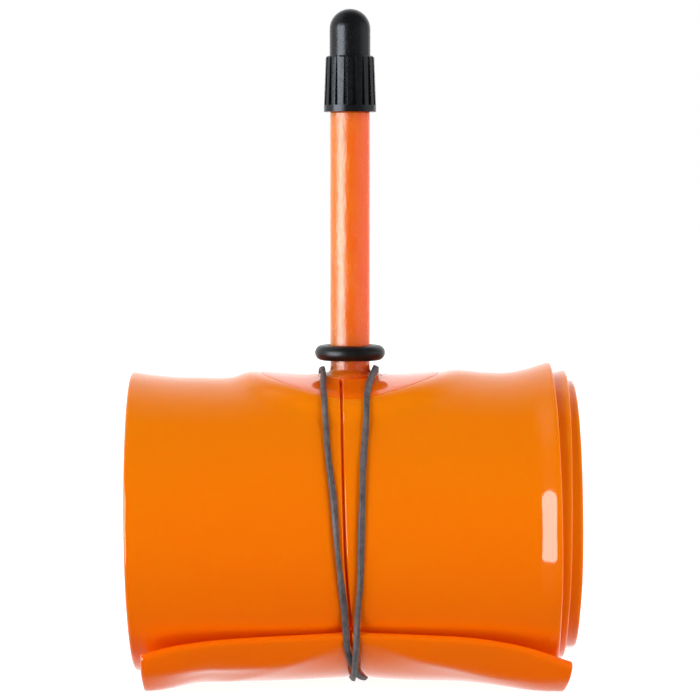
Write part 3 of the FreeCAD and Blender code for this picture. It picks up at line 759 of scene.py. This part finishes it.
def make_floor():
    """A plain white floor, kept out of the object's reflections."""
    half = 6.0
    corners = [(-half, -half, 0), (half, -half, 0), (half, half, 0), (-half, half, 0)]
    mesh = bpy.data.meshes.new("floor")
    mesh.from_pydata(corners, [], [(0, 1, 2, 3)])
    made = bpy.data.objects.new("floor", mesh)
    bpy.context.scene.collection.objects.link(made)
    material, _, shader = new_material("floor_white")
    shader.inputs["Base Color"].default_value = (0.6, 0.6, 0.6, 1)
    shader.inputs["Roughness"].default_value = 0.9
    shader.inputs["Specular IOR Level"].default_value = 0.0
    shader.inputs["Emission Color"].default_value = (1, 1, 1, 1)
    shader.inputs["Emission Strength"].default_value = 0.92
    mesh.materials.append(material)
    made.visible_glossy = False
    made.visible_diffuse = False
    made.visible_shadow = False


def greys(tree, value, stops):
    """A rescaled coordinate turned into a grey by (place, grey) stops."""
    return add_ramp(tree, rescale(tree, value), [(at, (grey,) * 3) for at, grey in stops])


def make_world():
    """White behind and beside the object, dim above and in front. The camera sees plain white."""
    world = bpy.data.worlds.new("studio")
    bpy.context.scene.world = world
    world.use_nodes = True
    tree = world.node_tree
    back = tree.nodes["Background"]
    place = tree.nodes.new("ShaderNodeTexCoord")
    split = tree.nodes.new("ShaderNodeSeparateXYZ")
    tree.links.new(place.outputs["Generated"], split.inputs["Vector"])
    behind = greys(tree, split.outputs["Y"], BEHIND)
    left = greys(tree, split.outputs["X"], LEFT)
    share = greys(tree, split.outputs["Y"], LEFT_SHARE)
    right = greys(tree, split.outputs["X"], RIGHT)
    side = combine(tree, "MULTIPLY", left, share)
    beside = combine(tree, "LIGHTEN", side, right)
    tree.links.new(combine(tree, "LIGHTEN", behind, beside), back.inputs["Color"])
    back.inputs["Strength"].default_value = 1.0
    white = tree.nodes.new("ShaderNodeBackground")
    white.inputs["Strength"].default_value = 1.0
    white.inputs["Color"].default_value = (1, 1, 1, 1)
    seen = tree.nodes.new("ShaderNodeLightPath")
    mix = tree.nodes.new("ShaderNodeMixShader")
    tree.links.new(seen.outputs["Is Camera Ray"], mix.inputs["Fac"])
    tree.links.new(back.outputs["Background"], mix.inputs[1])
    tree.links.new(white.outputs["Background"], mix.inputs[2])
    tree.links.new(mix.outputs["Shader"], tree.nodes["World Output"].inputs["Surface"])


def combine(tree, how, one, two):
    """Two colours put together in a mix node."""
    mix = tree.nodes.new("ShaderNodeMix")
    mix.data_type = "RGBA"
    mix.blend_type = how
    mix.inputs["Factor"].default_value = 1.0
    colours = [socket for socket in mix.inputs if socket.type == "RGBA"]
    tree.links.new(one, colours[0])
    tree.links.new(two, colours[1])
    return next(socket for socket in mix.outputs if socket.type == "RGBA")


def rescale(tree, value):
    """A direction's part along an axis, from -1..1 to 0..1."""
    made = tree.nodes.new("ShaderNodeMath")
    made.operation = "MULTIPLY_ADD"
    made.inputs[1].default_value = 0.5
    made.inputs[2].default_value = 0.5
    tree.links.new(value, made.inputs[0])
    return made.outputs["Value"]


make_floor()
make_world()
softbox = area_light(*SOFTBOX, SOFTBOX_COLOUR)
softbox.visible_diffuse = False
for fill_facts in FILLS:
    fill = area_light(*fill_facts)
    fill.visible_glossy = False

camera_data = bpy.data.cameras.new("camera")
camera_data.sensor_width = 36.0
camera_data.lens = CAMERA_LENS
camera_data.clip_start = 0.01
camera_data.clip_end = 50.0
camera = bpy.data.objects.new("camera", camera_data)
camera.location = CAMERA_PLACE
camera.rotation_euler = (math.radians(90 - CAMERA_TILT), 0, 0)
bpy.context.scene.collection.objects.link(camera)
bpy.context.scene.camera = camera

scene = bpy.context.scene
scene.view_settings.view_transform = "Standard"
scene.view_settings.look = "None"
